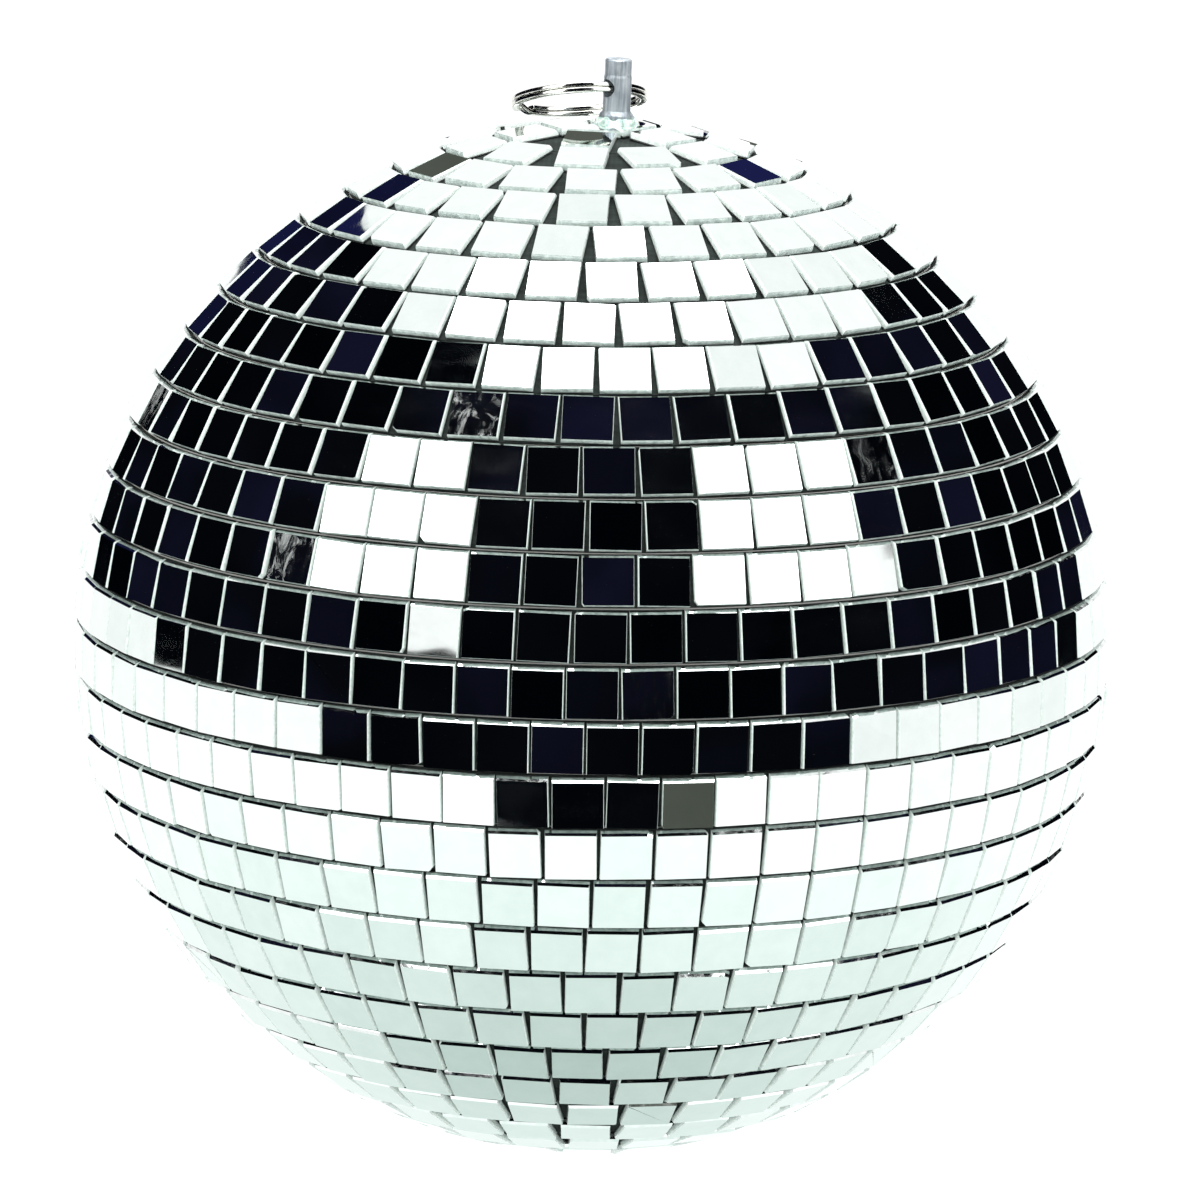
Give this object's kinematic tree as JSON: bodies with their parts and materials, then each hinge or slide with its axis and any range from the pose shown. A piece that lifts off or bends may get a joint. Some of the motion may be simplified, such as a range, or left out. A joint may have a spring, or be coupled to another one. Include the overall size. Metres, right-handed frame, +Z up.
{
  "type": "mirror ball",
  "caption": "Hanging mirror ball: square glass mirror tiles in rows on a hollow moulded core, with a cross-drilled hanging pin and a split ring that swings in it.",
  "frame": {"origin": "centre of the cross hole in the hanging pin, on the pin's axis, where the weight of the ball hangs", "axes": "+Z up along the hanging pin; +X and +Y are level, and the split ring lies towards -X +Y at rest"},
  "size_m": [0.2036, 0.2034, 0.2156],
  "materials": {
    "mirror_glass": "bright silvered float glass with cut, faintly green edges",
    "backing_cloth": "thin woven cloth strip, dark with cement",
    "core_plastic": "moulded polystyrene, satin",
    "rim_cement": "set solvent cement",
    "hot_glue": "translucent hot-melt glue, glossy and uneven",
    "pin_zinc": "turned, dull zinc plate",
    "fixing_steel": "zinc plated",
    "ring_nickel": "bright nickel plate"
  },
  "bodies": {
    "ball": {"backing_strips_lower": "backing_cloth", "backing_strips_upper": "backing_cloth", "core_lower_shell": "core_plastic", "core_upper_shell": "core_plastic", "hanging_pin": "pin_zinc", "hex_nut": "fixing_steel", "jam_nut": "fixing_steel", "load_washer": "fixing_steel", "mirror_patch_bottom": "mirror_glass", "mirror_patch_top": "mirror_glass", "mirror_row_01": "mirror_glass", "mirror_row_02": "mirror_glass", "mirror_row_03": "mirror_glass", "mirror_row_04": "mirror_glass", "mirror_row_05": "mirror_glass", "mirror_row_06": "mirror_glass", "mirror_row_07": "mirror_glass", "mirror_row_08": "mirror_glass", "mirror_row_09": "mirror_glass", "mirror_row_10": "mirror_glass", "mirror_row_11": "mirror_glass", "mirror_row_12": "mirror_glass", "mirror_row_13": "mirror_glass", "mirror_row_14": "mirror_glass", "mirror_row_15": "mirror_glass", "mirror_row_16": "mirror_glass", "mirror_row_17": "mirror_glass", "mirror_row_18": "mirror_glass", "mirror_row_19": "mirror_glass", "mirror_row_20": "mirror_glass", "mirror_row_21": "mirror_glass", "mirror_row_22": "mirror_glass", "mirror_row_23": "mirror_glass", "mirror_row_24": "mirror_glass", "mirror_row_25": "mirror_glass", "mirror_row_26": "mirror_glass", "mirror_row_27": "mirror_glass", "mirror_row_28": "mirror_glass", "mirror_row_29": "mirror_glass", "pin_glue_bead": "hot_glue", "rim_cement_ring": "rim_cement", "spring_washer": "fixing_steel"},
    "ring": {"split_ring": "ring_nickel"}
  },
  "joints": [
    {"name": "ring_swing", "type": "hinge", "parent": "ball", "child": "ring", "pos_m": [0, 0, 0], "axis": [0.7848, 0.6198, 0], "range_deg": [0, 214]}
  ]
}
